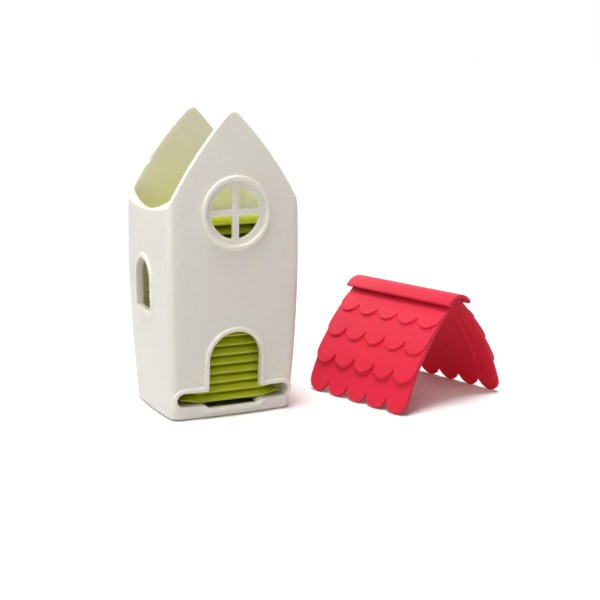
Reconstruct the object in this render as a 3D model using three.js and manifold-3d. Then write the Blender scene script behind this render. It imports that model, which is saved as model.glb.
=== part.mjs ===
// A tea bag dispenser shaped like a narrow house: a moulded house with an open top, a stack of tea
// sachets inside it, and a tiled roof that lifts off and here stands on the table beside the house.
// Millimetres, +Z up, +X to the right along the front of the house, +Y to its back.
import * as THREE from "three";
import { mergeVertices } from "three/addons/utils/BufferGeometryUtils.js";
import Module from "manifold-3d";

const wasm = await Module();
wasm.setup();

// House: a barrel-sided body with a rounded rectangular plan
const HOUSE_WIDTH = 94.8; // across the belly
const HOUSE_DEPTH = 84.2; // across the belly
const BASE_WIDTH = 87.2;
const BASE_DEPTH = 71.8;
const BELLY_Z = 106; // height of the widest plan
const SIDE_BOW = 1.4; // how far the middle of each side stands out past its ends
const CORNER_RADIUS = 5.6;
const BASE_ROUND = 2.4; // rounding of the bottom edge
const WALL = 4.2;
const FLOOR_TOP = 9.4; // the sachets rest here, level with the sill
const FLOOR_THICKNESS = 2.4; // open underneath

// Gable: two bowed slopes from the peak to the shoulders
const PEAK_Z = 200; // where the slopes would meet if the peak were sharp
const SHOULDER_Z = 135;
const GABLE_CROWN = 3.4; // bulge of a slope over its chord
const PEAK_RADIUS = 5;
const RIM_RISE = 0.6; // lowest place on top of the side walls, over the shoulders
const RIM_HOLLOW = 82; // radius of the long hollow along the top of each side wall
const NOTCH_LENGTH = 6; // small locating notch in the inner edge of each back gable slope
const NOTCH_DEPTH = 0.8;
const NOTCH_Z = 163;

// Openings in the front
const SLOT_HEIGHT = 9.5;
const SLOT_SIDE_ROOM = 4.4; // beside the sachet that passes through
const DOOR_HALF_WIDTH = 18.2;
const DOOR_TOP_Z = 57.6;
const FINGER_HALF_WIDTH = 20.7; // cut-out in the sill and floor for a finger
const FINGER_SILL_Z = 6.8;
const FINGER_REACH = 26; // from the front of the base towards the back
const FINGER_SLANT = 4.1; // how far each side of the cut-out leans in towards its bottom
const WINDOW_Z = 134.7;
const WINDOW_RADIUS = 16.9;
const WINDOW_SETBACK = 1.2; // of the window's frame and cross from the outside of the wall
const FRAME_WIDTH = 4; // flat ring round the panes
const RING_WIDTH = 2.6; // raised ring round the frame
const RING_HEIGHT = 2;
const MUNTIN_WIDTH = 4.4;
const RIM_WIDTH = 2.7; // raised border of the door, the slot, the cut-out and the side windows
const RIM_HEIGHT = 1.4;

// Openings in the sides
const SIDE_WINDOW_HALF_WIDTH = 13.4;
const SIDE_WINDOW_SILL_Z = 68.5;
const SIDE_WINDOW_TOP_Z = 102.8;
const SIDE_WINDOW_Y = 2.5;

// Roof: a thin bent sheet with rows of round-ended tiles, and a cap over the ridge
const ROOF_GAP = 29; // clear table between the house and the roof
const ROOF_Y = -29; // from the middle of the house to the middle of the roof
const ROOF_TURN = 15 * (Math.PI / 180);
const EAVE_CLEARANCE = 0.6; // beside the widest part of the house
const EAVE_OVERLAP = 7.5; // how far the eaves hang below the shoulders
const ROOF_CROWN = 6; // bulge of a slope over its chord
const FOLD_RADIUS = 3; // inside the ridge
const SHEET = 2.2;
const TILES_PER_ROW = 5;
const TILE_ROWS = 4; // the lowest row is the edge of the sheet itself
const ROOF_OVERHANG = 5.15; // past the belly of the house, front and back
const TILE_DROP = 9.4; // from notch to tip
const FIRST_TIPS = 28.4; // tips of the highest row, down the slope from the ridge
const TILE_STEP = 2.6; // height of a tile's lower edge over the tiles below it
const TILE_BED = 0.4; // how far the tiles sink into the sheet that carries them
const RIDGE_START = 12; // from the ridge to the first tiles, down the slope
const LINER_STEP = 1.2; // raised panel under each slope, which locates the roof between the gables
const LINER_CLEARANCE = 0.5; // between the panel and the gables, where they lean in most
const LINER_START = 6; // down the slope from the ridge
const LINER_END = 61.7;
const LOWER_LINER_STEP = 0.6; // the panel goes on, thinner, to the eave
const LOWER_LINER_END = 1.2; // above the notches between the lowest tiles
const CAP_OVERHANG = 2.2; // past each end of the roof
const CAP_RADIUS = 14;
const CAP_THICKNESS = 2.4;
const CAP_HALF_WIDTH = 11.5; // from the ridge to each lip

// Sachets
const SACHET_COUNT = 20;
const SACHET_PITCH = 6.1; // thickness of a filled sachet in the stack
const SACHET_SIDE_ROOM = 5; // beside the stack, at the floor
const SACHET_END_ROOM = 1.25; // before and behind the stack, where the house is least deep
const SACHET_SEAM = 0.8; // thickness of the sealed edge
const SACHET_FLAP = 14; // how much of the front and back bends down
const SACHET_SQUARENESS = 3; // how evenly the filling spreads towards the edges

const SEAT_GAP = 0.3; // between pieces that rest on each other

// Smoothness of the facets
const SIDE_STEPS = 8;
const CORNER_STEPS = 4;
const ARC_STEPS = 12;
const RING_STEPS = 40;
const TILE_STEPS = 8;
const FOLD_STEPS = 3;
const SLOPE_STEPS = 10;
const LEVEL_STEP = 12;
const ROUND_STEPS = 4;
const TILE_LENGTH_STEPS = 4;
const SACHET_WIDTH_STEPS = 4;
const SACHET_DEPTH_STEPS = 6;

const BEYOND = 20; // how far a cutter runs past what it cuts
const WELD = 1e-4; // points closer than this are one

const plastic = { color: 0xe9e5da, roughness: 0.42, metalness: 0 };
const silicone = { color: 0xe8384f, roughness: 0.55, metalness: 0 };
const foilPaper = { color: 0x93a51f, roughness: 0.5, metalness: 0 };

// Solids

function toSolid(geometry) {
  const bare = geometry.clone();
  bare.deleteAttribute("normal");
  bare.deleteAttribute("uv");
  const merged = mergeVertices(bare, WELD);
  const mesh = new wasm.Mesh({
    numProp: 3,
    vertProperties: merged.attributes.position.array,
    triVerts: new Uint32Array(merged.index.array),
  });
  return new wasm.Manifold(mesh);
}

function toGeometry(solid) {
  const mesh = solid.getMesh();
  const geometry = new THREE.BufferGeometry();
  geometry.setAttribute("position", new THREE.BufferAttribute(mesh.vertProperties, 3));
  geometry.setIndex(new THREE.BufferAttribute(mesh.triVerts, 1));
  geometry.computeVertexNormals();
  return geometry;
}

function namedMesh(name, geometry, finish) {
  const mesh = new THREE.Mesh(geometry, new THREE.MeshStandardMaterial(finish));
  mesh.name = name;
  return mesh;
}

const join = (solids) => solids.reduce((whole, solid) => whole.add(solid));

// Outlines

const spread = (from, to, steps) =>
  Array.from({ length: steps + 1 }, (_, i) => from + ((to - from) * i) / steps);

function arcPoints(x, y, radius, from, to, steps = ARC_STEPS) {
  return spread(from, to, steps).map((angle) =>
    new THREE.Vector2(x + radius * Math.cos(angle), y + radius * Math.sin(angle)));
}

const discOutline = (radius, z) => arcPoints(0, z, radius, 0, 2 * Math.PI, RING_STEPS).slice(0, -1);

function slotOutline(grow) {
  const z = FLOOR_TOP + SLOT_HEIGHT / 2;
  const radius = SLOT_HEIGHT / 2 + grow;
  const reach = sachetWidth / 2 + SLOT_SIDE_ROOM - SLOT_HEIGHT / 2;
  return [
    ...arcPoints(reach, z, radius, -Math.PI / 2, Math.PI / 2),
    ...arcPoints(-reach, z, radius, Math.PI / 2, (3 * Math.PI) / 2),
  ];
}

function archOutline(middle, halfWidth, sillZ, topZ) {
  return [
    new THREE.Vector2(middle - halfWidth, sillZ),
    new THREE.Vector2(middle + halfWidth, sillZ),
    ...arcPoints(middle, topZ - halfWidth, halfWidth, 0, Math.PI, 2 * ARC_STEPS),
  ];
}

// Outline of a wide trough with an arc as its bottom
function troughOutline(halfWidth, bottomZ, topZ, radius) {
  const straightDown = 1.5 * Math.PI;
  const sweep = Math.asin(halfWidth / radius);
  return [
    new THREE.Vector2(halfWidth, topZ),
    new THREE.Vector2(-halfWidth, topZ),
    ...arcPoints(0, bottomZ + radius, radius, straightDown - sweep, straightDown + sweep),
  ];
}

// Outline of the finger cut-out, with leaning sides
function fingerOutline(grow) {
  const topZ = FLOOR_TOP + SEAT_GAP;
  const bottomZ = FINGER_SILL_Z - grow;
  const half = FINGER_HALF_WIDTH + grow;
  const foot = half - FINGER_SLANT;
  return [
    new THREE.Vector2(half, topZ), new THREE.Vector2(-half, topZ),
    new THREE.Vector2(-foot, bottomZ), new THREE.Vector2(foot, bottomZ),
  ];
}

function extrude(outline, depth) {
  return new THREE.ExtrudeGeometry(new THREE.Shape(outline), { depth, bevelEnabled: false });
}

// An (x, z) outline run along Y between two depths
function alongY(outline, fromY, toY) {
  const basis = new THREE.Matrix4().makeBasis(
    new THREE.Vector3(1, 0, 0), new THREE.Vector3(0, 0, 1), new THREE.Vector3(0, -1, 0),
  );
  return toSolid(extrude(outline, toY - fromY).applyMatrix4(basis).translate(0, toY, 0));
}

// A (y, z) outline run along X
function alongX(outline, fromX, toX) {
  const basis = new THREE.Matrix4().makeBasis(
    new THREE.Vector3(0, 1, 0), new THREE.Vector3(0, 0, 1), new THREE.Vector3(1, 0, 0),
  );
  return toSolid(extrude(outline, toX - fromX).applyMatrix4(basis).translate(fromX, 0, 0));
}

function block(fromX, toX, fromY, toY, fromZ, toZ) {
  const box = new THREE.BoxGeometry(toX - fromX, toY - fromY, toZ - fromZ);
  return toSolid(box.translate((fromX + toX) / 2, (fromY + toY) / 2, (fromZ + toZ) / 2));
}

// House body

// Half a plan size at a height: a parabola through the base and the belly
const barrel = (belly, base, z) => (belly - (belly - base) * ((z - BELLY_Z) / BELLY_Z) ** 2) / 2;
const halfWidthAt = (z) => barrel(HOUSE_WIDTH, BASE_WIDTH, z);
const halfDepthAt = (z) => barrel(HOUSE_DEPTH, BASE_DEPTH, z);

// The sachets pass the floor and the leaning gables
const sachetWidth = 2 * (halfWidthAt(FLOOR_TOP) - WALL - SACHET_SIDE_ROOM);
const leastHalfDepth = Math.min(halfDepthAt(FLOOR_TOP), halfDepthAt(PEAK_Z));
const sachetDepth = 2 * (leastHalfDepth - WALL - SACHET_END_ROOM);
const frameRadius = WINDOW_RADIUS + FRAME_WIDTH;

// A rectangle with bowed sides, grown by a radius that rounds its corners
function planRing(halfWidth, halfDepth, radius) {
  const crownX = halfWidth - radius;
  const crownY = halfDepth - radius;
  const reachX = crownX - SIDE_BOW;
  const reachY = crownY - SIDE_BOW;
  const sides = [
    { along: new THREE.Vector2(1, 0), reach: reachX, crown: crownY, next: reachY },
    { along: new THREE.Vector2(0, 1), reach: reachY, crown: crownX, next: reachX },
    { along: new THREE.Vector2(-1, 0), reach: reachX, crown: crownY, next: reachY },
    { along: new THREE.Vector2(0, -1), reach: reachY, crown: crownX, next: reachX },
  ];
  const ring = [];
  for (const { along, reach, crown, next } of sides) {
    const out = new THREE.Vector2(along.y, -along.x);
    const leanAt = (t, length) => Math.atan((2 * SIDE_BOW * t) / length);
    const place = (t, lean) => new THREE.Vector2()
      .addScaledVector(along, reach * t + radius * Math.sin(lean))
      .addScaledVector(out, crown - SIDE_BOW * t * t + radius * Math.cos(lean));
    for (let i = 0; i <= SIDE_STEPS; i++) {
      const t = (2 * i) / SIDE_STEPS - 1;
      ring.push(place(t, leanAt(t, reach)));
    }
    const from = leanAt(1, reach);
    const to = Math.PI / 2 - leanAt(1, next);
    for (let i = 1; i < CORNER_STEPS; i++) ring.push(place(1, from + ((to - from) * i) / CORNER_STEPS));
  }
  return ring;
}

// A closed solid through a list of level rings, each { ring, z }
function loft(levels) {
  const count = levels[0].ring.length;
  const position = levels.flatMap(({ ring, z }) => ring.flatMap((p) => [p.x, p.y, z]));
  const index = [];
  for (let level = 0; level + 1 < levels.length; level++) {
    for (let i = 0; i < count; i++) {
      const a = level * count + i;
      const b = level * count + ((i + 1) % count);
      index.push(a, b, b + count, a, b + count, a + count);
    }
  }
  const top = (levels.length - 1) * count;
  for (let i = 1; i + 1 < count; i++) {
    index.push(0, i + 1, i);
    index.push(top, top + i, top + i + 1);
  }
  const geometry = new THREE.BufferGeometry();
  geometry.setAttribute("position", new THREE.Float32BufferAttribute(position, 3));
  geometry.setIndex(index);
  return toSolid(geometry);
}

// Level rings of the house's outside, moved out (or in, where negative), between two heights
function houseLevels(grow, fromZ, toZ) {
  const steps = Math.max(1, Math.round((toZ - fromZ) / LEVEL_STEP));
  return spread(fromZ, toZ, steps).map((z) => (
    { ring: planRing(halfWidthAt(z) + grow, halfDepthAt(z) + grow, CORNER_RADIUS + grow), z }
  ));
}

function roundedFoot() {
  return Array.from({ length: ROUND_STEPS }, (_, i) => {
    const angle = (Math.PI / 2) * (1 - i / ROUND_STEPS);
    const z = BASE_ROUND * (1 - Math.sin(angle));
    const inset = BASE_ROUND * (1 - Math.cos(angle));
    return { ring: planRing(halfWidthAt(z) - inset, halfDepthAt(z) - inset, CORNER_RADIUS), z };
  });
}

// Ridge profiles: two arcs that bulge outwards, with a rounded peak. A point is named by the angle
// of its outward normal from straight up, so a parallel surface has the same angles.
function ridgeProfile(run, drop, crown, peakZ, peakRadius) {
  const chord = Math.hypot(run, drop);
  const radius = (chord * chord) / (8 * crown) + crown / 2;
  const halfSweep = Math.asin(chord / (2 * radius));
  const start = Math.atan2(drop, run) - halfSweep;
  const centreX = -radius * Math.sin(start);
  const centreZ = peakZ - radius * Math.cos(start);
  const peakCentreZ = centreZ + Math.sqrt((radius - peakRadius) ** 2 - centreX ** 2);
  const fold = Math.asin(-centreX / (radius - peakRadius));
  const at = (angle, offset = 0) => {
    const bend = Math.abs(angle);
    const onPeak = bend < fold;
    const reach = (onPeak ? peakRadius : radius) + offset;
    const x = (onPeak ? 0 : centreX) + reach * Math.sin(bend);
    const z = (onPeak ? peakCentreZ : centreZ) + reach * Math.cos(bend);
    return { x: Math.sign(angle) * x, z };
  };
  const angleAt = (distance) => start + distance / radius;
  const length = 2 * halfSweep * radius;
  const angleAtX = (x) => Math.asin((x - centreX) / radius);
  const angleAtZ = (z) => Math.acos((z - centreZ) / radius);
  const topZ = peakCentreZ + peakRadius;
  return { at, angleAt, angleAtX, angleAtZ, fold, length, topZ };
}

const shoulderX = halfWidthAt(SHOULDER_Z);
const gable = ridgeProfile(shoulderX, PEAK_Z - SHOULDER_Z, GABLE_CROWN, PEAK_Z, PEAK_RADIUS);

function gableOutline() {
  const past = gable.angleAt(gable.length + BEYOND);
  const peak = spread(0, gable.fold, ROUND_STEPS).slice(0, -1);
  const slope = spread(gable.fold, past, ARC_STEPS);
  const rightHalf = [...peak, ...slope].map((angle) => gable.at(angle));
  const right = rightHalf.map(({ x, z }) => new THREE.Vector2(x, z));
  const left = rightHalf.slice(1).map(({ x, z }) => new THREE.Vector2(-x, z));
  const edge = right.at(-1).x;
  const feet = [new THREE.Vector2(edge, -BEYOND), new THREE.Vector2(-edge, -BEYOND)];
  return [...left.reverse(), ...right, ...feet];
}

function houseSolid() {
  const topZ = PEAK_Z + BEYOND;
  const front = -HOUSE_DEPTH / 2 - BEYOND;
  const outside = loft([...roundedFoot(), ...houseLevels(0, BASE_ROUND, topZ)]);
  const bordered = loft(houseLevels(RIM_HEIGHT, BASE_ROUND, PEAK_Z));
  const ringed = loft(houseLevels(RING_HEIGHT, BASE_ROUND, PEAK_Z));
  const setBack = loft(houseLevels(-WINDOW_SETBACK, BASE_ROUND, PEAK_Z));
  const inside = loft(houseLevels(-WALL, FLOOR_TOP, topZ + BEYOND));
  const underside = loft(houseLevels(-WALL, -BEYOND, FLOOR_TOP - FLOOR_THICKNESS));

  const door = (grow) => alongY(
    archOutline(0, DOOR_HALF_WIDTH + grow, FLOOR_TOP + SLOT_HEIGHT / 2, DOOR_TOP_Z + grow), front, 0,
  );
  const slot = (grow) => alongY(slotOutline(grow), front, 0);
  const sideWindow = (grow) => alongX(
    archOutline(
      SIDE_WINDOW_Y, SIDE_WINDOW_HALF_WIDTH + grow, SIDE_WINDOW_SILL_Z - grow, SIDE_WINDOW_TOP_Z + grow,
    ),
    -HOUSE_WIDTH, HOUSE_WIDTH,
  );
  const disc = (radius) => alongY(discOutline(radius, WINDOW_Z), front, 0);
  const finger = (grow) => alongY(fingerOutline(grow), front, FINGER_REACH - BASE_DEPTH / 2);

  const belowSill = block(-HOUSE_WIDTH, HOUSE_WIDTH, front, 0, -BEYOND, FLOOR_TOP);
  const borders = bordered.intersect(join([door(RIM_WIDTH), slot(RIM_WIDTH)]).subtract(belowSill));
  const sideBorders = bordered.intersect(sideWindow(RIM_WIDTH));
  const fingerBorder = bordered.intersect(finger(RIM_WIDTH));
  const ring = ringed.intersect(disc(frameRadius + RING_WIDTH));
  const recess = disc(frameRadius).subtract(setBack);
  const panes = disc(WINDOW_RADIUS).subtract(join(muntins(front)));

  // The rim between the gables: only the side walls are cut down to it
  const rimZ = SHOULDER_Z + RIM_RISE;
  const innerSide = halfWidthAt(rimZ) - WALL - SIDE_BOW - SEAT_GAP;
  const gableEdgeZ = gable.at(gable.angleAtX(innerSide)).z;
  const rimReach = halfDepthAt(gableEdgeZ) - WALL - SIDE_BOW;
  const betweenGables = troughOutline(rimReach, rimZ, topZ + BEYOND, RIM_HOLLOW);
  const rimCut = (side) => alongX(
    betweenGables, side < 0 ? -HOUSE_WIDTH : innerSide, side < 0 ? -innerSide : HOUSE_WIDTH,
  );

  let house = join([outside, borders, sideBorders, fingerBorder, ring]);
  for (const cut of [
    inside, underside, door(0), slot(0), sideWindow(0), recess, panes, rimCut(-1), rimCut(1), finger(0),
  ]) house = house.subtract(cut);
  house = house.intersect(alongY(gableOutline(), front, -front));
  for (const cut of locatingNotches()) house = house.subtract(cut);
  return house;
}

// The cross that is left standing between the panes of the round window
function muntins(front) {
  const half = MUNTIN_WIDTH / 2;
  return [
    block(-half, half, front, 0, WINDOW_Z - frameRadius, WINDOW_Z + frameRadius),
    block(-frameRadius, frameRadius, front, 0, WINDOW_Z - half, WINDOW_Z + half),
  ];
}

// Small notches in the inner edges of the two slopes of the back gable
function locatingNotches() {
  const inner = halfDepthAt(NOTCH_Z) - WALL;
  const angle = gable.angleAtZ(NOTCH_Z);
  const { x } = gable.at(angle);
  return [-1, 1].map((side) => {
    const box = new THREE.BoxGeometry(NOTCH_LENGTH, WALL, 2 * NOTCH_DEPTH);
    return toSolid(box.rotateY(side * angle).translate(side * x, inner, NOTCH_Z));
  });
}

// Roof

const eaveX = HOUSE_WIDTH / 2 + EAVE_CLEARANCE;
const eaveDrop = PEAK_Z - SHOULDER_Z + EAVE_OVERLAP;
const roof = ridgeProfile(eaveX, eaveDrop, ROOF_CROWN, eaveDrop, FOLD_RADIUS);
const roofHalfLength = HOUSE_DEPTH / 2 + ROOF_OVERHANG;
const tileWidth = (2 * roofHalfLength) / TILES_PER_ROW;
const tilePitch = (roof.length - FIRST_TIPS) / (TILE_ROWS - 1);

// A curved slab on the roof's profile. Each column lies at a place along the ridge and lists its
// points down the slope as { angle, inner, outer }, with offsets from the inside of the roof.
function slab(columns) {
  const rows = columns[0].points.length;
  const position = [];
  for (const skin of ["inner", "outer"]) {
    for (const { along, points } of columns) {
      for (const point of points) {
        const { x, z } = roof.at(point.angle, point[skin]);
        position.push(x, along, z);
      }
    }
  }
  const outer = columns.length * rows;
  const index = [];
  const quad = (a, b, c, d) => index.push(a, b, c, a, c, d);
  for (let i = 0; i + 1 < columns.length; i++) {
    const here = i * rows;
    const next = here + rows;
    for (let j = 0; j + 1 < rows; j++) {
      quad(here + j, next + j, next + j + 1, here + j + 1);
      quad(outer + here + j, outer + here + j + 1, outer + next + j + 1, outer + next + j);
    }
    quad(here, outer + here, outer + next, next);
    const last = rows - 1;
    quad(here + last, next + last, outer + next + last, outer + here + last);
  }
  const end = (columns.length - 1) * rows;
  for (let j = 0; j + 1 < rows; j++) {
    quad(j, j + 1, outer + j + 1, outer + j);
    quad(end + j, outer + end + j, outer + end + j + 1, end + j + 1);
  }
  const geometry = new THREE.BufferGeometry();
  geometry.setAttribute("position", new THREE.Float32BufferAttribute(position, 3));
  geometry.setIndex(index);
  return toSolid(geometry);
}

// The places along the ridge where the tile edges have a point, with their distance above the tips
function tileEdge() {
  const edge = [];
  for (let tile = 0; tile < TILES_PER_ROW; tile++) {
    const middle = (tile + 0.5) * tileWidth - roofHalfLength;
    for (let i = tile === 0 ? 0 : 1; i <= TILE_STEPS; i++) {
      const angle = Math.PI * (i / TILE_STEPS - 0.5);
      edge.push({
        along: middle + (tileWidth / 2) * Math.sin(angle), above: TILE_DROP * (1 - Math.cos(angle)),
      });
    }
  }
  return edge;
}

function sheetSolid() {
  return slab(tileEdge().map(({ along, above }) => {
    const end = roof.angleAt(roof.length - above);
    const slope = spread(roof.fold, end, SLOPE_STEPS);
    const half = [...spread(0, roof.fold, FOLD_STEPS).slice(1, -1), ...slope];
    const angles = [...half.map((angle) => -angle).reverse(), 0, ...half];
    return { along, points: angles.map((angle) => ({ angle, inner: 0, outer: SHEET })) };
  }));
}

// A row of tiles on the right slope: thin under the row above, a full step at its own edge
function tileRow(row) {
  const tip = FIRST_TIPS + row * tilePitch;
  const start = row === 0 ? RIDGE_START : tip - tilePitch - TILE_DROP - TILE_STEP;
  return slab(tileEdge().map(({ along, above }) => ({
    along,
    points: spread(start, tip - above, TILE_LENGTH_STEPS).map((distance) => ({
      angle: roof.angleAt(distance),
      inner: SHEET - TILE_BED,
      outer: SHEET + TILE_STEP * ((distance - start) / (tip - start)),
    })),
  })));
}

// A panel under the right slope, between two distances down from the ridge
function linerPanel(from, to, step) {
  const reach = halfDepthAt(PEAK_Z) - WALL - LINER_CLEARANCE;
  return slab([-reach, reach].map((along) => ({
    along,
    points: spread(from, to, SLOPE_STEPS).map((distance) => ({
      angle: roof.angleAt(distance), inner: -step, outer: TILE_BED,
    })),
  })));
}

// The right slope's additions, and the same turned about the vertical for the left slope
const onBothSlopes = (solid) => [solid, solid.rotate([0, 0, 180])];

function roofSolid() {
  const raisedRows = Array.from({ length: TILE_ROWS - 1 }, (_, row) => tileRow(row));
  const linerFoot = roof.length - TILE_DROP - LOWER_LINER_END;
  const liners = [
    linerPanel(LINER_START, LINER_END, LINER_STEP),
    linerPanel(LINER_START, linerFoot, LOWER_LINER_STEP),
  ];
  return join([sheetSolid(), ...[...raisedRows, ...liners].flatMap(onBothSlopes)]);
}

function ridgeCapSolid() {
  const undersideZ = roof.topZ + SHEET + SEAT_GAP;
  const centreZ = undersideZ + CAP_THICKNESS - CAP_RADIUS;
  const from = Math.acos(CAP_HALF_WIDTH / CAP_RADIUS);
  const to = Math.PI - from;
  const outline = [
    ...arcPoints(0, centreZ, CAP_RADIUS, from, to),
    ...arcPoints(0, centreZ, CAP_RADIUS - CAP_THICKNESS, to, from),
  ];
  const reach = roofHalfLength + CAP_OVERHANG;
  return alongY(outline, -reach, reach);
}

// Sachets

// A flat filled envelope: full in the middle, thin at its sealed edges, its front and back bent down
function sachetGeometry() {
  const full = SACHET_PITCH - SEAT_GAP;
  const flapFrom = 1 - (2 * SACHET_FLAP) / sachetDepth;
  const places = (steps) => spread(-Math.PI / 2, Math.PI / 2, steps).map(Math.sin); // close at the edges
  const columns = places(SACHET_WIDTH_STEPS);
  const rows = places(SACHET_DEPTH_STEPS);
  const swell = (t) => 1 - Math.abs(t) ** SACHET_SQUARENESS;
  const position = [];
  for (const skin of [0, 1]) {
    for (const u of columns) {
      for (const v of rows) {
        const thickness = SACHET_SEAM + (full - SACHET_SEAM) * swell(u) * swell(v);
        const bend = THREE.MathUtils.smoothstep(Math.abs(v), flapFrom, 1);
        const lift = ((full - thickness) / 2) * (1 - bend);
        position.push((u * sachetWidth) / 2, (v * sachetDepth) / 2, lift + skin * thickness);
      }
    }
  }
  return closedGrid(position, columns.length, rows.length);
}

// Faces for two grids of points, lower then upper, joined round their edges
function closedGrid(position, columns, rows) {
  const upper = columns * rows;
  const index = [];
  const quad = (a, b, c, d) => index.push(a, b, c, a, c, d);
  const at = (i, j) => i * rows + j;
  for (let i = 0; i + 1 < columns; i++) {
    for (let j = 0; j + 1 < rows; j++) {
      quad(at(i, j), at(i, j + 1), at(i + 1, j + 1), at(i + 1, j));
      quad(upper + at(i, j), upper + at(i + 1, j), upper + at(i + 1, j + 1), upper + at(i, j + 1));
    }
  }
  const border = [];
  for (let i = 0; i + 1 < columns; i++) border.push(at(i, 0));
  for (let j = 0; j + 1 < rows; j++) border.push(at(columns - 1, j));
  for (let i = columns - 1; i > 0; i--) border.push(at(i, rows - 1));
  for (let j = rows - 1; j > 0; j--) border.push(at(0, j));
  border.forEach((a, i) => {
    const b = border[(i + 1) % border.length];
    quad(a, b, upper + b, upper + a);
  });
  const geometry = new THREE.BufferGeometry();
  geometry.setAttribute("position", new THREE.Float32BufferAttribute(position, 3));
  geometry.setIndex(index);
  geometry.computeVertexNormals();
  return geometry;
}

// Assembly

function houseGroup() {
  const group = new THREE.Group();
  group.add(namedMesh("house_shell", toGeometry(houseSolid()), plastic));
  const envelope = sachetGeometry();
  for (let i = 0; i < SACHET_COUNT; i++) {
    const name = `sachet_${String(i + 1).padStart(2, "0")}`;
    const sachet = namedMesh(name, envelope, foilPaper);
    sachet.position.z = FLOOR_TOP + SEAT_GAP + i * SACHET_PITCH;
    group.add(sachet);
  }
  return group;
}

function roofGroup() {
  const group = new THREE.Group();
  group.add(namedMesh("roof_shell", toGeometry(roofSolid()), silicone));
  group.add(namedMesh("ridge_cap", toGeometry(ridgeCapSolid()), silicone));
  const reach = eaveX * Math.cos(ROOF_TURN) + roofHalfLength * Math.sin(ROOF_TURN);
  group.position.set(HOUSE_WIDTH / 2 + ROOF_GAP + reach, ROOF_Y, 0);
  group.rotation.z = ROOF_TURN;
  return group;
}

// The origin is under the middle of the whole set, on the table
const set = new THREE.Group();
set.add(houseGroup(), roofGroup());
set.updateMatrixWorld(true);
const middle = new THREE.Box3().setFromObject(set, true).getCenter(new THREE.Vector3());
set.position.set(-middle.x, -middle.y, 0);

const dispenser = new THREE.Group();
dispenser.add(set);

export default dispenser;
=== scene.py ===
"""Looks of the house-shaped tea bag dispenser: a white moulded house, a red silicone roof standing
beside it with its ridge cap, and the stack of wrapped sachets inside."""
import math
import random

import bpy
from mathutils import Matrix, Vector, kdtree, noise


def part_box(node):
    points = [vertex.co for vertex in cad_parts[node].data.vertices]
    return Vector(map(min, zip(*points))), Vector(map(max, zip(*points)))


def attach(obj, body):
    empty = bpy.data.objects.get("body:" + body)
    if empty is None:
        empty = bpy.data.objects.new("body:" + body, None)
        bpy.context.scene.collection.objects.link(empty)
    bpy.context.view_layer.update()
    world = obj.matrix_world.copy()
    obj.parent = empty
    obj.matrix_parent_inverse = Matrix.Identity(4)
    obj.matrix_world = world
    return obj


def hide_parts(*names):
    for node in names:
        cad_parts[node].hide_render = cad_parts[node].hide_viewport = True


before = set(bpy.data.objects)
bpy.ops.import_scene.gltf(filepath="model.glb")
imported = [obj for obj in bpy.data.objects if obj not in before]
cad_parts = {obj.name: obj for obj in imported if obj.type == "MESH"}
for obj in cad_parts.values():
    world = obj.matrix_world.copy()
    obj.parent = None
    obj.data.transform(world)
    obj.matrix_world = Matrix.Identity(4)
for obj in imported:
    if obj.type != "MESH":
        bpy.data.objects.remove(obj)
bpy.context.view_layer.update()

MM = 0.001

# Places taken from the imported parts
sachet_low, sachet_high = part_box("sachet_01")
HOUSE_MIDDLE = Vector((
    (sachet_low.x + sachet_high.x) / 2, (sachet_low.y + sachet_high.y) / 2, 100 * MM))
roof_low, roof_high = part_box("roof_shell")
UNDER_RIDGE = Vector(((roof_low.x + roof_high.x) / 2, (roof_low.y + roof_high.y) / 2, 20 * MM))
ROOF_TURN = math.radians(15)  # the roof stands turned by this from the house
RIDGE_DIRECTION = Vector((-math.sin(ROOF_TURN), math.cos(ROOF_TURN), 0))
SACHET_NODES = sorted(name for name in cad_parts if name.startswith("sachet_"))


# Small helpers


def linear(hex_colour):
    """An sRGB hex value as the linear colour that a shader socket takes."""
    channels = [int(hex_colour[i:i + 2], 16) / 255 for i in (1, 3, 5)]
    return [c / 12.92 if c <= 0.04045 else ((c + 0.055) / 1.055) ** 2.4 for c in channels] + [1.0]


def add(tree, kind, inputs=None, **settings):
    """Adds a node with its settings; an input is given a value or linked from another node's output."""
    made = tree.nodes.new(kind)
    for name, value in settings.items():
        setattr(made, name, value)
    for name, value in (inputs or {}).items():
        if isinstance(value, bpy.types.NodeSocket):
            tree.links.new(value, made.inputs[name])
        else:
            made.inputs[name].default_value = value
    return made


def new_material(name):
    """A material with an empty node tree."""
    made = bpy.data.materials.new(name)
    made.use_nodes = True
    made.node_tree.nodes.clear()
    return made


def finish_material(made, shader):
    """Links the shader to the material's surface."""
    add(made.node_tree, "ShaderNodeOutputMaterial", {"Surface": shader.outputs[0]})
    return made


def select_only(piece):
    """Leaves edit mode and makes the piece the only selected object, and the active one."""
    if bpy.context.mode != "OBJECT":
        bpy.ops.object.mode_set(mode="OBJECT")
    bpy.ops.object.select_all(action="DESELECT")
    piece.select_set(True)
    bpy.context.view_layer.objects.active = piece


def in_edit_mode(piece, action):
    """Runs edit operators with everything of the piece selected."""
    select_only(piece)
    bpy.ops.object.mode_set(mode="EDIT")
    bpy.ops.mesh.select_all(action="SELECT")
    action()
    bpy.ops.object.mode_set(mode="OBJECT")


def apply_modifier(piece, kind, **settings):
    """Adds a modifier with its settings and applies it."""
    select_only(piece)
    modifier = piece.modifiers.new(kind.lower(), kind)
    for name, value in settings.items():
        setattr(modifier, name, value)
    bpy.ops.object.modifier_apply(modifier=modifier.name)


def mark_points(piece, name, values):
    """Keeps one number per point, which the materials read by its name."""
    piece.data.attributes.new(name, "FLOAT", "POINT").data.foreach_set("value", values)


def smooth_step(low, high, value):
    """0 up to low, 1 from high on, and an even curve between them."""
    t = min(1, max(0, (value - low) / (high - low)))
    return t * t * (3 - 2 * t)


# Materials


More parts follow.
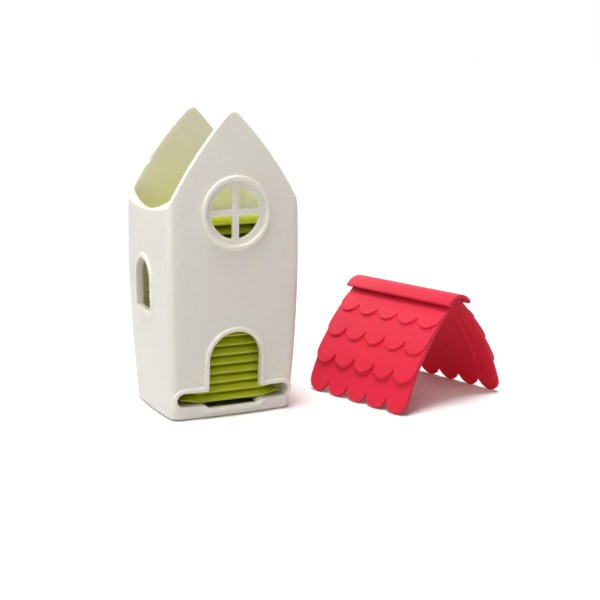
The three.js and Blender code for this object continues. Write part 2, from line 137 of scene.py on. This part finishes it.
def light_depth(tree, outside, inside):
    """How deep light goes: less on the outside, where relief stays crisp, and more on the inner faces,
    which glow with the light that comes through the wall."""
    place = add(tree, "ShaderNodeAttribute", attribute_name="inside")
    depth = add(tree, "ShaderNodeMapRange", {
        "Value": place.outputs["Fac"], "To Min": outside, "To Max": inside})
    return depth.outputs[0]


def moulded_abs():
    """Injection-moulded ABS with a fine spark-eroded grain: a satin warm white whose highlights are
    broad and soft."""
    made = new_material("moulded_abs_warm_white")
    tree = made.node_tree
    place = add(tree, "ShaderNodeTexCoord").outputs["Object"]
    # Slow drift in the pigment, patches about 40 mm across
    drift = add(tree, "ShaderNodeTexNoise", {"Vector": place, "Scale": 25.0, "Detail": 2.0})
    colour = add(tree, "ShaderNodeMixRGB", {
        "Fac": drift.outputs["Fac"], "Color1": linear("#f3f0e8"), "Color2": linear("#eeeae0")})
    # Handling marks in the gloss, about 12 mm across
    marks = add(tree, "ShaderNodeTexNoise", {"Vector": place, "Scale": 85.0, "Detail": 4.0})
    gloss = add(tree, "ShaderNodeMapRange", {
        "Value": marks.outputs["Fac"], "From Min": 0.3, "From Max": 0.7, "To Min": 0.3, "To Max": 0.4})
    # Grain of 0.05 mm in the real mould, drawn 0.7 mm wide so that it shows at all
    grain = add(tree, "ShaderNodeTexNoise", {"Vector": place, "Scale": 1400.0, "Detail": 2.0})
    relief = add(tree, "ShaderNodeBump", {
        "Height": grain.outputs["Fac"], "Strength": 0.06, "Distance": 0.2 * MM})
    shader = add(tree, "ShaderNodeBsdfPrincipled", {
        "Base Color": colour.outputs[0], "Roughness": gloss.outputs[0], "IOR": 1.53,
        "Subsurface Weight": 0.6, "Subsurface Radius": (1.0, 0.85, 0.45),
        "Subsurface Scale": light_depth(tree, outside=2 * MM, inside=9 * MM),
        "Normal": relief.outputs[0]})
    return finish_material(made, shader)


def silicone():
    """Compression-moulded silicone rubber: soft matte red with a wide, weak sheen and a dusty bloom."""
    made = new_material("moulded_silicone_red")
    tree = made.node_tree
    place = add(tree, "ShaderNodeTexCoord").outputs["Object"]
    # Bloom on the surface, patches about 25 mm across
    bloom = add(tree, "ShaderNodeTexNoise", {"Vector": place, "Scale": 40.0, "Detail": 3.0})
    colour = add(tree, "ShaderNodeMixRGB", {
        "Fac": bloom.outputs["Fac"], "Color1": linear("#e61a41"), "Color2": linear("#dd153a")})
    # Fine flow marks, about 3 mm across
    flow = add(tree, "ShaderNodeTexNoise", {"Vector": place, "Scale": 330.0, "Detail": 3.0})
    gloss = add(tree, "ShaderNodeMapRange", {
        "Value": flow.outputs["Fac"], "From Min": 0.3, "From Max": 0.7, "To Min": 0.5, "To Max": 0.62})
    # Grain of the mould, far finer in the real one, drawn 0.9 mm wide so that it shows at all
    grain = add(tree, "ShaderNodeTexNoise", {"Vector": place, "Scale": 1100.0, "Detail": 2.0})
    relief = add(tree, "ShaderNodeBump", {
        "Height": grain.outputs["Fac"], "Strength": 0.08, "Distance": 0.3 * MM})
    shader = add(tree, "ShaderNodeBsdfPrincipled", {
        "Base Color": colour.outputs[0], "Roughness": gloss.outputs[0], "IOR": 1.41,
        "Subsurface Weight": 0.6, "Subsurface Radius": (1.0, 0.06, 0.12),
        "Subsurface Scale": light_depth(tree, outside=0.5 * MM, inside=14 * MM),
        "Sheen Weight": 0.12, "Sheen Roughness": 0.4, "Normal": relief.outputs[0]})
    return finish_material(made, shader)


def foil_paper():
    """Foil-laminated paper printed olive lime: a slight satin gloss, paler along the crimped seals, and
    a painted highlight along the cut edge.
    """
    made = new_material("foil_paper_olive_lime")
    tree = made.node_tree
    place = add(tree, "ShaderNodeTexCoord").outputs["Object"]
    tone = add(tree, "ShaderNodeAttribute", attribute_name="tone")
    seal = add(tree, "ShaderNodeAttribute", attribute_name="seal")
    # Ink drift, patches about 15 mm across
    drift = add(tree, "ShaderNodeTexNoise", {"Vector": place, "Scale": 65.0, "Detail": 3.0})
    ink = add(tree, "ShaderNodeMixRGB", {
        "Fac": drift.outputs["Fac"], "Color1": linear("#c2cd04"), "Color2": linear("#b2bd00")})
    toned = add(tree, "ShaderNodeMixRGB", {
        "Fac": tone.outputs["Fac"], "Color1": ink.outputs[0], "Color2": linear("#cbd412")})
    # The pale seal colour goes where the seal attribute is high: a little on the crimped seals and more
    # on the cut edge. On the cut edge it is partly the paler paper of the cut and partly a painted
    # highlight.
    colour = add(tree, "ShaderNodeMixRGB", {
        "Fac": seal.outputs["Fac"], "Color1": toned.outputs[0], "Color2": linear("#dade66")})
    # Paper fibres under the foil, about 1.2 mm apart
    fibre = add(tree, "ShaderNodeTexNoise", {"Vector": place, "Scale": 800.0, "Detail": 4.0})
    gloss = add(tree, "ShaderNodeMapRange", {
        "Value": fibre.outputs["Fac"], "From Min": 0.3, "From Max": 0.7, "To Min": 0.36, "To Max": 0.5})
    relief = add(tree, "ShaderNodeBump", {
        "Height": fibre.outputs["Fac"], "Strength": 0.15, "Distance": 0.3 * MM})
    shader = add(tree, "ShaderNodeBsdfPrincipled", {
        "Base Color": colour.outputs[0], "Roughness": gloss.outputs[0], "IOR": 1.5,
        "Specular IOR Level": 0.25, "Normal": relief.outputs[0]})
    return finish_material(made, shader)


house_plastic = moulded_abs()
roof_silicone = silicone()
sachet_paper = foil_paper()


# House and roof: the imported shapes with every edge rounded, as they leave their moulds


def feature_tree(mesh):
    """Points every half millimetre along the mesh's sharp edges."""
    sharp, spacing = math.radians(14), 0.5 * MM
    faces_of = {}
    for face in mesh.polygons:
        for key in face.edge_keys:
            faces_of.setdefault(key, []).append(face.normal.copy())
    points = []
    for (a, b), normals in faces_of.items():
        if len(normals) == 2 and normals[0].angle(normals[1], 0) < sharp:
            continue
        start, end = mesh.vertices[a].co, mesh.vertices[b].co
        steps = max(1, math.ceil((end - start).length / spacing))
        points += [start.lerp(end, i / steps) for i in range(steps + 1)]
    tree = kdtree.KDTree(len(points))
    for i, point in enumerate(points):
        tree.insert(point, i)
    tree.balance()
    return tree


def group_plain_areas(piece, features):
    """Puts the areas away from every sharp edge in a vertex group, which fades in from near to far."""
    near, far, weight_steps = 1.2 * MM, 4 * MM, 8
    plain = piece.vertex_groups.new(name="plain")
    weights = {}
    for vertex in piece.data.vertices:
        distance = features.find(vertex.co)[2]
        share = min(1, max(0, (distance - near) / (far - near)))
        if share > 0:
            weights.setdefault(round(share * weight_steps) / weight_steps, []).append(vertex.index)
    for share, indices in weights.items():
        plain.add(indices, share, "REPLACE")


def moulded(node, name, voxel, rounding, fairing, most_triangles):
    """A merged copy of a CAD node with rounded edges: its plain areas are faired until the facets are
    gone. Rounding and fairing are numbers of smoothing passes."""
    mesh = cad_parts[node].data.copy()
    piece = bpy.data.objects.new(name, mesh)
    bpy.context.scene.collection.objects.link(piece)
    in_edit_mode(piece, lambda: bpy.ops.mesh.remove_doubles(threshold=0.002 * MM))
    features = feature_tree(mesh)
    apply_modifier(piece, "REMESH", mode="VOXEL", voxel_size=voxel, use_smooth_shade=True)
    group_plain_areas(piece, features)
    apply_modifier(piece, "SMOOTH", factor=0.5, iterations=rounding)
    apply_modifier(piece, "SMOOTH", factor=0.5, iterations=fairing, vertex_group="plain")
    piece.vertex_groups.clear()
    triangles = 2 * len(piece.data.polygons)
    if triangles > most_triangles:
        apply_modifier(piece, "DECIMATE", ratio=most_triangles / triangles)
    bpy.ops.object.shade_smooth()
    return piece


def mark_inside(piece, middle, axis):
    """Gives each point the share by which its surface faces a line through the inside of the piece."""
    outer_most, inner_least = 0.35, 0.7  # cosines of the angle between the normal and the way inwards
    shares = []
    for vertex in piece.data.vertices:
        offset = middle - vertex.co
        inwards = (offset - axis * offset.dot(axis)).normalized()
        shares.append(smooth_step(outer_most, inner_least, vertex.normal.dot(inwards)))
    mark_points(piece, "inside", shares)


coarse = 1
house = moulded("house_shell", "house", voxel=0.37 * MM * coarse, rounding=4, fairing=280,
                most_triangles=195_000)
roof = moulded("roof_shell", "tiled_roof", voxel=0.38 * MM * coarse, rounding=9, fairing=140,
               most_triangles=190_000)
mark_inside(house, HOUSE_MIDDLE, Vector((0, 0, 1)))
mark_inside(roof, UNDER_RIDGE, RIDGE_DIRECTION)
for piece, node, body, slot, finish in (
    (house, "house_shell", "house", "house", house_plastic),
    (roof, "roof_shell", "roof", "roof", roof_silicone),
):
    piece.data.materials.clear()
    piece.data.materials.append(finish)
    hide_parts(node)
    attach(piece, body)


# Ridge cap: a half-round strip with rounded lips


def ridge_cap():
    """Cuts the arc from a circle, pulls it out to its length and gives it its wall."""
    low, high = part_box("ridge_cap")
    radius, thickness, length = 14 * MM, 2.4 * MM, 98.9 * MM
    lip_rounding = 0.9 * MM
    axis_z = high.z - radius
    lip_share = (low.z - axis_z) / (radius - thickness)  # cosine of half the arc
    lip_z = (radius - thickness / 2) * lip_share
    middle = Vector(((low.x + high.x) / 2, (low.y + high.y) / 2, axis_z))
    bpy.ops.object.select_all(action="DESELECT")
    bpy.ops.mesh.primitive_circle_add(
        vertices=96, radius=radius - thickness / 2, rotation=(math.pi / 2, 0, 0))
    cap = bpy.context.active_object
    cap.name = "ridge_strip"
    bpy.ops.object.transform_apply(location=False, rotation=True, scale=True)

    def pull_out():
        bpy.ops.mesh.bisect(plane_co=(0, 0, lip_z), plane_no=(0, 0, -1), clear_outer=True)
        bpy.ops.mesh.select_all(action="SELECT")
        bpy.ops.mesh.extrude_region_move(TRANSFORM_OT_translate={"value": (0, length, 0)})
        bpy.ops.mesh.select_all(action="SELECT")
        bpy.ops.transform.translate(value=(0, -length / 2, 0))
        bpy.ops.mesh.normals_make_consistent(inside=False)

    in_edit_mode(cap, pull_out)
    apply_modifier(cap, "SOLIDIFY", thickness=thickness, offset=0, use_even_offset=True)
    apply_modifier(cap, "BEVEL", width=lip_rounding, segments=4, limit_method="ANGLE",
                   angle_limit=math.radians(40))
    cap.matrix_world = Matrix.Translation(middle) @ Matrix.Rotation(ROOF_TURN, 4, "Z")
    select_only(cap)
    bpy.ops.object.transform_apply(location=True, rotation=True, scale=True)
    bpy.ops.object.shade_smooth_by_angle(angle=math.radians(35))
    cap.data.materials.append(roof_silicone)
    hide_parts("ridge_cap")
    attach(cap, "roof")


ridge_cap()


# Sachets: flat filled envelopes with a crimped seal all round, their fronts drooping like shingles

FIRST_SEED = 700
SEAL = 5.4 * MM  # width of the crimped border
PAPER = 0.5 * MM  # thickness in the seals, both skins together
FILLED = 0.97  # share of the CAD solid's height that the filling takes
FILL_START = SEAL * 0.6  # the filling swells from here, counted from the edge,
FILL_REACH_X, FILL_REACH_Y = 24 * MM, 22 * MM  # and is at its full height from here on
FLAP = 8 * MM  # length over which the front and the back hang down
CORNER = 0.62  # share of the half width from which the corners hang less
CREASE_SIZE, CREASE_HEIGHT, CREASE_REACH = 7 * MM, 0.5 * MM, 20 * MM
CRIMP_PITCH, CRIMP_DEPTH = 1.8 * MM, 0.13 * MM
WANDER_SIZE, WANDER_MOST, WANDER_REACH = 16 * MM, 0.45 * MM, 10 * MM
EDGE_PALENESS_AND_HIGHLIGHT_SIZE = 11 * MM  # of the paler places along the cut edge, which are partly painted highlight
PLAY = 0.02 * MM  # kept free under and over each sachet
SKIN_GAP = 0.1 * MM  # added between the skins, so that creases don't make them meet
SKIN_ROOM = 0.3 * MM  # least height of the upper skin, and of what is left over the lower one


def spaced(half, border, fine, inside):
    """Places across a sachet: close together in the seals, wider apart between them."""
    edge = [half - border + border * i / fine for i in range(fine + 1)]
    step = 2 * (half - border) / inside
    middle = [border - half + step * i for i in range(1, inside)]
    return [-p for p in reversed(edge)] + middle + edge


def swell(inset, reach):
    """How far the filling has swollen at this distance from the edge: in full from reach on."""
    return 1 - (1 - smooth_step(FILL_START, reach, inset)) ** 2


def two_skins(name, columns, rows):
    """A blank of two skins joined all round, two units wide and deep and one high."""
    bpy.ops.object.select_all(action="DESELECT")
    bpy.ops.mesh.primitive_grid_add(
        x_subdivisions=len(columns) - 1, y_subdivisions=len(rows) - 1, size=2)
    blank = bpy.context.active_object
    blank.name = name

    def pull_up():
        bpy.ops.mesh.extrude_region_move(TRANSFORM_OT_translate={"value": (0, 0, 1)})
        bpy.ops.mesh.select_all(action="SELECT")
        bpy.ops.mesh.normals_make_consistent(inside=False)

    in_edit_mode(blank, pull_up)
    return blank


def sachet(node, number):
    """One sachet: each point of the blank is moved to its place on the filled envelope."""
    low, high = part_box(node)
    half_x, half_y = (high.x - low.x) / 2, (high.y - low.y) / 2
    full = high.z - low.z
    chance = random.Random(FIRST_SEED + number)
    drift = Vector((chance.uniform(0, 90), chance.uniform(0, 90), chance.uniform(0, 90)))
    shift_x, shift_y = chance.uniform(-0.9, 0.9) * MM, chance.uniform(-0.1, 0.5) * MM
    skew = math.radians(chance.uniform(-0.7, 0.7))
    plumpness = chance.uniform(0.85, 1)
    on_top = node == SACHET_NODES[-1]
    if on_top:  # nothing presses on it, so it lies slack and flat behind its front flap
        plumpness = 0.35
    columns = spaced(half_x, SEAL, fine=12, inside=36)
    rows = spaced(half_y, SEAL, fine=12, inside=34)
    piece = two_skins(f"wrapped_{node}", columns, rows)

    paleness_and_highlight = []
    for vertex in piece.data.vertices:
        u, v, skin = vertex.co  # skin is 0 on the lower one and 1 on the upper one
        x = columns[round((u + 1) / 2 * (len(columns) - 1))]
        y = rows[round((v + 1) / 2 * (len(rows) - 1))]
        inset_x, inset_y = half_x - abs(x), half_y - abs(y)
        inset = min(inset_x, inset_y)
        thickness = PAPER + (full * FILLED - PAPER) * plumpness * (
            swell(inset_x, FILL_REACH_X) * swell(inset_y, FILL_REACH_Y))
        # The front and back seals hang down from the top of the filling, less so towards the corners
        corner = smooth_step(CORNER * half_x, half_x, abs(x))
        hang = 1 - (1 - min(1, inset_y / FLAP)) ** 3
        rise = 0.8 - 0.7 * smooth_step(-0.8 * half_y, -0.4 * half_y, y) if on_top else 1
        lift = (full - thickness) * rise * (0.9 * hang * (1 - corner) + 0.5 * corner)
        # Creases run in from the seals where the filling pulls the paper
        here = Vector((x, y, 0)) / CREASE_SIZE + drift
        often_x, often_y = (2.2, 0.5) if inset_y < inset_x else (0.5, 2.2)
        crease = noise.noise(Vector((here.x * often_x, here.y * often_y, here.z)))
        near_seal = smooth_step(0, SEAL, inset) * (1 - smooth_step(SEAL, CREASE_REACH, inset))
        wave = crease * near_seal * CREASE_HEIGHT
        # Crimps stand in the seals, along their length
        in_seal = 1 - smooth_step(SEAL * 0.7, SEAL, inset)
        crimp = math.sin(2 * math.pi * inset / CRIMP_PITCH) * CRIMP_DEPTH * in_seal
        # The free edges wander a little
        wander = noise.noise(Vector((x, y, 0)) / WANDER_SIZE + 2 * drift)
        outwards = wander * WANDER_MOST * (1 - smooth_step(0, WANDER_REACH, inset))
        z = lift + skin * thickness + wave + crimp
        z = min(full - PLAY, max(PLAY, z + skin * SKIN_GAP))
        if skin > 0.5:
            z = max(z, SKIN_ROOM)
        else:
            z = min(z, full - SKIN_ROOM)
        x += shift_x - skew * y
        y += shift_y + skew * x + math.copysign(outwards, y)
        vertex.co = ((low.x + high.x) / 2 + x, (low.y + high.y) / 2 + y, low.z + z)
        # The cut edge is paler, partly from the paler paper of the cut and partly as a painted
        # highlight, more in some places than in others
        edge_paleness_and_highlight = 0.3 + 0.5 * noise.noise(Vector((x, y, 0)) / EDGE_PALENESS_AND_HIGHLIGHT_SIZE + 3 * drift)
        cut_edge = 1 - smooth_step(0.2 * MM, 0.9 * MM, inset)
        paleness_and_highlight.append(cut_edge * max(0, edge_paleness_and_highlight) + 0.05 * in_seal)

    tone = chance.uniform(0, 0.7)
    mark_points(piece, "tone", [tone] * len(paleness_and_highlight))
    # The seal attribute carries the paler seals and the cut edge, whose paleness is partly a painted
    # highlight
    mark_points(piece, "seal", paleness_and_highlight)
    select_only(piece)
    bpy.ops.object.shade_smooth()
    piece.data.materials.append(sachet_paper)
    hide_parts(node)
    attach(piece, "bottom_sachet" if node == "sachet_01" else "stack")


for number, node in enumerate(SACHET_NODES):
    sachet(node, number)


# Camera at the photograph's view


def photo_camera():
    """The camera that was fitted to the edges of house and roof in the photograph."""
    yaw, lift, roll = (math.radians(angle) for angle in (-26.455, 11.253, 0.497))
    focal_px, frame_px, sensor_mm = 1242.555, 600, 36
    depth = 0.830518  # to the middle of the house
    right_px, down_px = -88.057, -42.684  # where that point lies, from the middle of the frame
    back = Vector((math.sin(yaw) * math.cos(lift), -math.cos(yaw) * math.cos(lift), math.sin(lift)))
    level = Vector((math.cos(yaw), math.sin(yaw), 0))
    upright = back.cross(level)
    right = math.cos(roll) * level + math.sin(roll) * upright
    up = math.cos(roll) * upright - math.sin(roll) * level
    aside, down = right_px * depth / focal_px, down_px * depth / focal_px
    data = bpy.data.cameras.new("camera")
    data.sensor_width = sensor_mm
    data.lens = focal_px / frame_px * sensor_mm
    data.clip_start = 10 * MM
    camera = bpy.data.objects.new("camera", data)
    camera.matrix_world = Matrix((right, up, back)).transposed().to_4x4()
    camera.matrix_world.translation = HOUSE_MIDDLE + back * depth - right * aside + up * down
    bpy.context.scene.collection.objects.link(camera)
    bpy.context.scene.camera = camera


photo_camera()


# Floor and light


def table_top():
    """A white table, so wide that no view shows its edge. It throws a little less light on the object
    than the camera sees of it."""
    made = new_material("white_table")
    tree = made.node_tree
    seen = add(tree, "ShaderNodeLightPath")
    tint = add(tree, "ShaderNodeMixRGB", {
        "Fac": seen.outputs["Is Camera Ray"], "Color1": linear("#e2e2e2"), "Color2": linear("#ffffff")})
    shader = add(tree, "ShaderNodeBsdfDiffuse", {"Color": tint.outputs[0]})
    finish_material(made, shader)
    bpy.ops.object.select_all(action="DESELECT")
    bpy.ops.mesh.primitive_plane_add(size=60, location=(0, 0, 0))
    floor = bpy.context.active_object
    floor.name = "table_top"
    floor.data.materials.append(made)


def broad_light(name, towards_light, width_degrees, strength):
    """A distant white light as wide as a large softbox, so that the whole table is lit alike."""
    data = bpy.data.lights.new(name, "SUN")
    data.angle = math.radians(width_degrees)
    data.energy = strength
    lamp = bpy.data.objects.new(name, data)
    lamp.location = Vector(towards_light).normalized() * 2
    lamp.rotation_euler = Vector(towards_light).to_track_quat("Z", "Y").to_euler()
    bpy.context.scene.collection.objects.link(lamp)


def near_light(name, from_house, width, power, colour):
    """A square softbox at a place counted from the middle of the house, turned to face it."""
    data = bpy.data.lights.new(name, "AREA")
    data.size = width
    data.energy = power
    data.color = linear(colour)[:3]
    lamp = bpy.data.objects.new(name, data)
    lamp.location = HOUSE_MIDDLE + Vector(from_house)
    lamp.rotation_euler = Vector(from_house).to_track_quat("Z", "Y").to_euler()
    lamp.visible_camera = False
    bpy.context.scene.collection.objects.link(lamp)


def studio():
    """A white backdrop and four softboxes."""
    world = bpy.data.worlds.new("studio")
    bpy.context.scene.world = world
    world.use_nodes = True
    tree = world.node_tree
    tree.nodes.clear()
    seen = add(tree, "ShaderNodeLightPath").outputs
    white = add(tree, "ShaderNodeBackground", {"Color": linear("#ffffff"), "Strength": 1.0})
    light = add(tree, "ShaderNodeBackground", {"Color": linear("#fff8ee"), "Strength": 0.15})
    # The camera, gloss and anything clear see the white backdrop; the rest is lit by a dimmer one
    direct = add(tree, "ShaderNodeMath", {
        0: seen["Is Camera Ray"], 1: seen["Is Glossy Ray"]}, operation="MAXIMUM")
    backdrop = add(tree, "ShaderNodeMath", {
        0: direct.outputs[0], 1: seen["Is Transmission Ray"]}, operation="MAXIMUM")
    shader = add(tree, "ShaderNodeMixShader", {
        0: backdrop.outputs[0], 1: light.outputs[0], 2: white.outputs[0]})
    add(tree, "ShaderNodeOutputWorld", {"Surface": shader.outputs[0]})
    broad_light("overhead_softbox", (-0.1, -0.08, 0.99), width_degrees=20, strength=2.35)
    broad_light("front_softbox", (-0.4, -0.5, 0.77), width_degrees=35, strength=0.6)
    near_light("left_softbox", (-0.45, -0.08, 0.08), width=0.35, power=0.42, colour="#f6f9ff")
    near_light("back_softbox", (0.0, 0.36, 0.16), width=0.3, power=0.5, colour="#ffffff")


table_top()
studio()
bpy.context.scene.view_settings.view_transform = "Standard"
